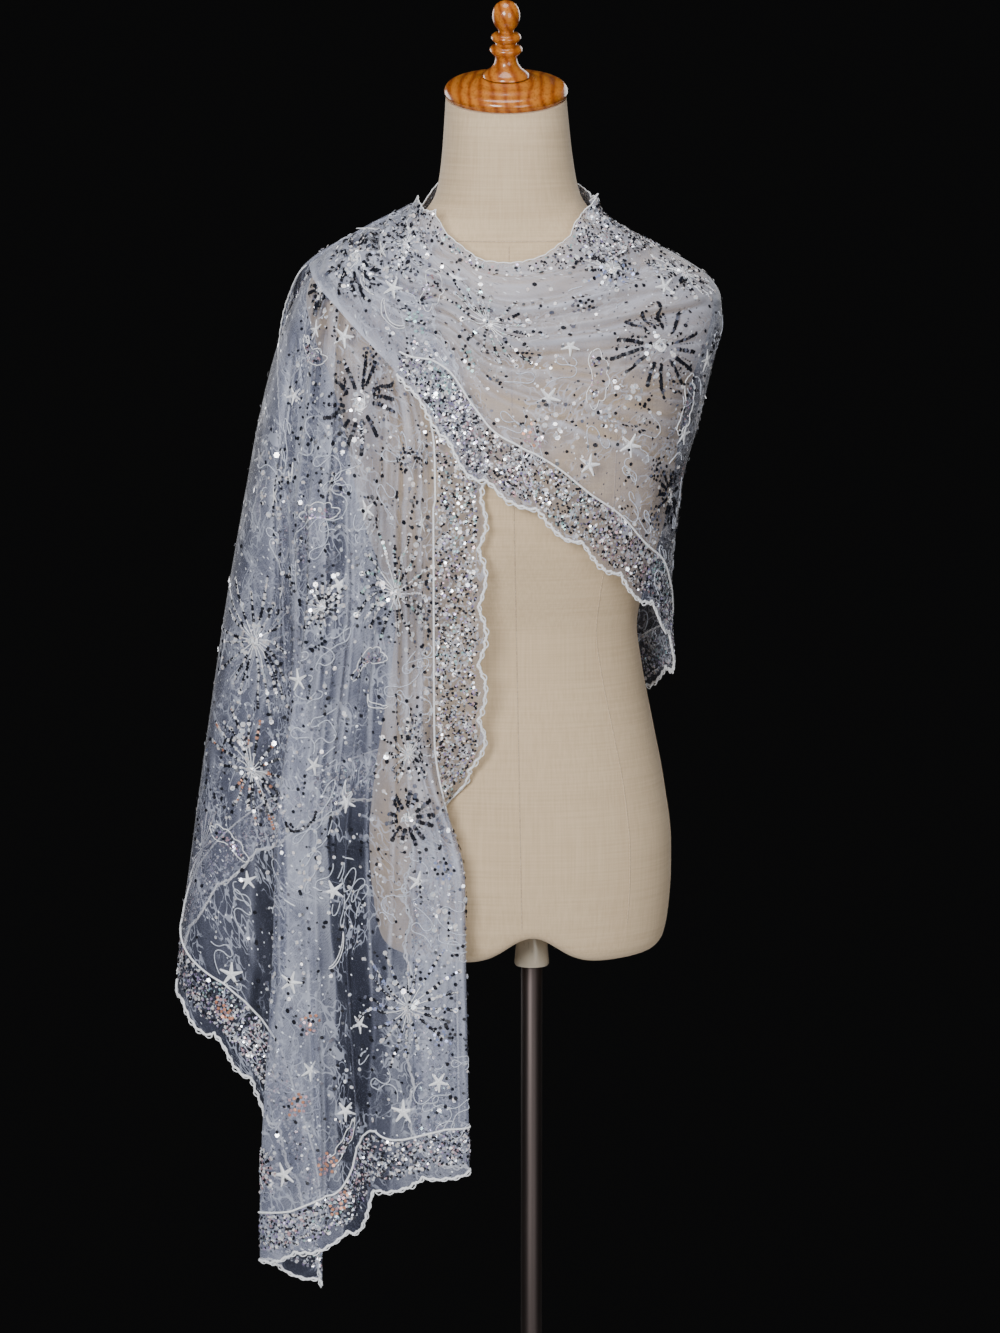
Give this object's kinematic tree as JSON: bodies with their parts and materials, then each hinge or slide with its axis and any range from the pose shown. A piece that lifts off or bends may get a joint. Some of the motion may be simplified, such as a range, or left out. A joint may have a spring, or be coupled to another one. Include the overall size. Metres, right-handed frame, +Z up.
{
  "type": "lace shawl on a limbless dress form",
  "caption": "Sheer shawl with embroidered, scalloped borders, wound round a padded limbless dress form on a round-based pole stand.",
  "frame": {"origin": "centre of the base plate's flat underside, on the pole's axis", "axes": "+Z up along the pole, -Y the way the form's front faces"},
  "size_m": [0.5307, 0.38, 1.6531],
  "materials": {
    "base_steel": "satin",
    "pole_steel": "polished",
    "collar_enamel": "satin",
    "linen": "plain-woven linen",
    "turned_wood": "glossy lacquer",
    "tulle": "sheer embroidered net",
    "sequin_border": "sheer net covered with small sequins"
  },
  "bodies": {
    "stand": {"base_plate": "base_steel", "pole": "pole_steel"},
    "form": {"collar": "collar_enamel", "dress_form": "linen", "neck_cap": "turned_wood", "finial": "turned_wood", "fall_field": "tulle", "fall_hem_border": "sequin_border", "fall_outer_border": "sequin_border", "fall_inner_border": "sequin_border", "back_field": "tulle", "back_neck_border": "sequin_border", "back_lower_border": "sequin_border", "chest_field": "tulle", "chest_neck_border": "sequin_border", "chest_lower_border": "sequin_border", "end_field": "tulle", "end_hem_border": "sequin_border"}
  },
  "joints": [
    {"name": "form_turn", "type": "hinge", "parent": "stand", "child": "form", "pos_m": [0, 0, 0.75], "axis": [0, 0, 1], "continuous": true}
  ]
}
